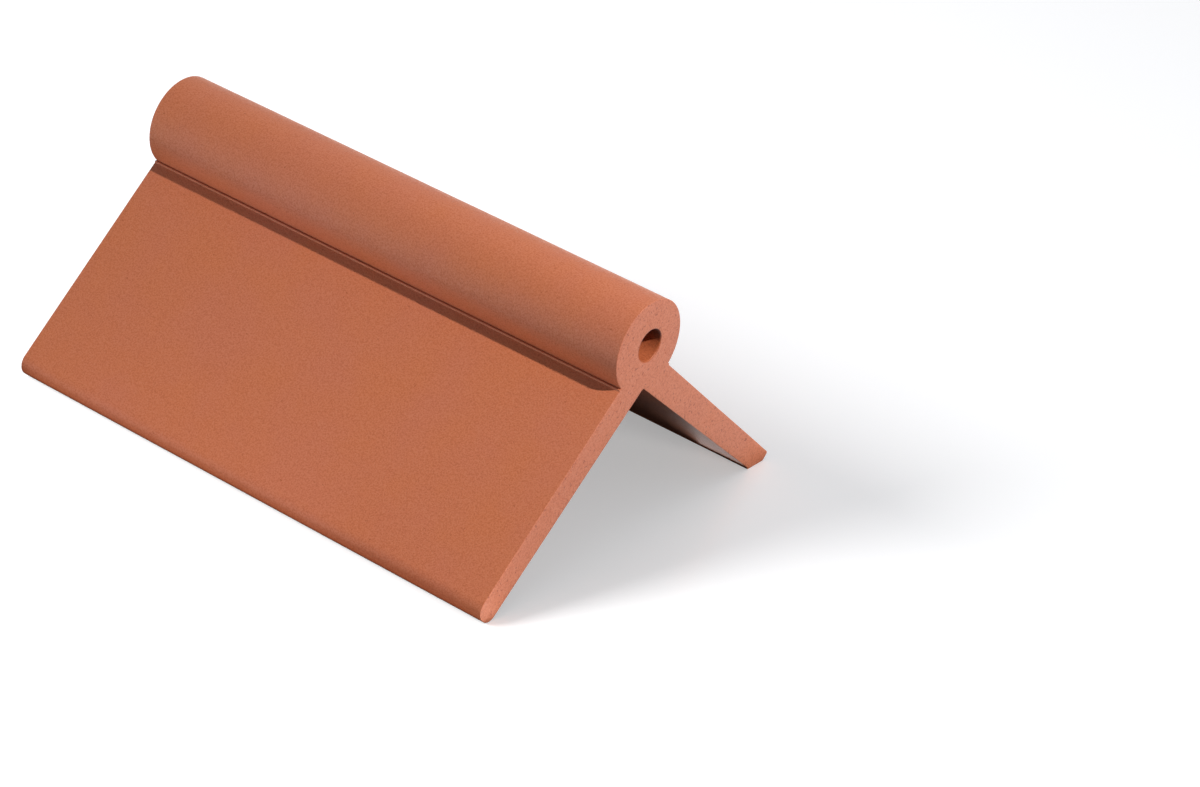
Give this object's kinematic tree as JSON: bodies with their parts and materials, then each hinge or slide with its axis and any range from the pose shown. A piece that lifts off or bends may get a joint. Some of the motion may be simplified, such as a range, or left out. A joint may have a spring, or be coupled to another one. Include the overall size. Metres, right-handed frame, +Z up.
{
  "type": "ridge tile",
  "caption": "Clay angle ridge tile: two plain sloping wings that meet under a round roll with a bore along it, in unglazed terracotta.",
  "frame": {"origin": "on the floor under the middle of the tile's footprint, between its two feet", "axes": "+X along the ridge, +Y from the near wing (square-cut foot) to the far wing (level-cut foot), +Z up to the roll"},
  "size_m": [0.3, 0.2246, 0.1329],
  "materials": {
    "fired_clay": "matt, unglazed, fine sandy grain"
  },
  "bodies": {
    "root": {"ridge_tile": "fired_clay"}
  },
  "joints": []
}
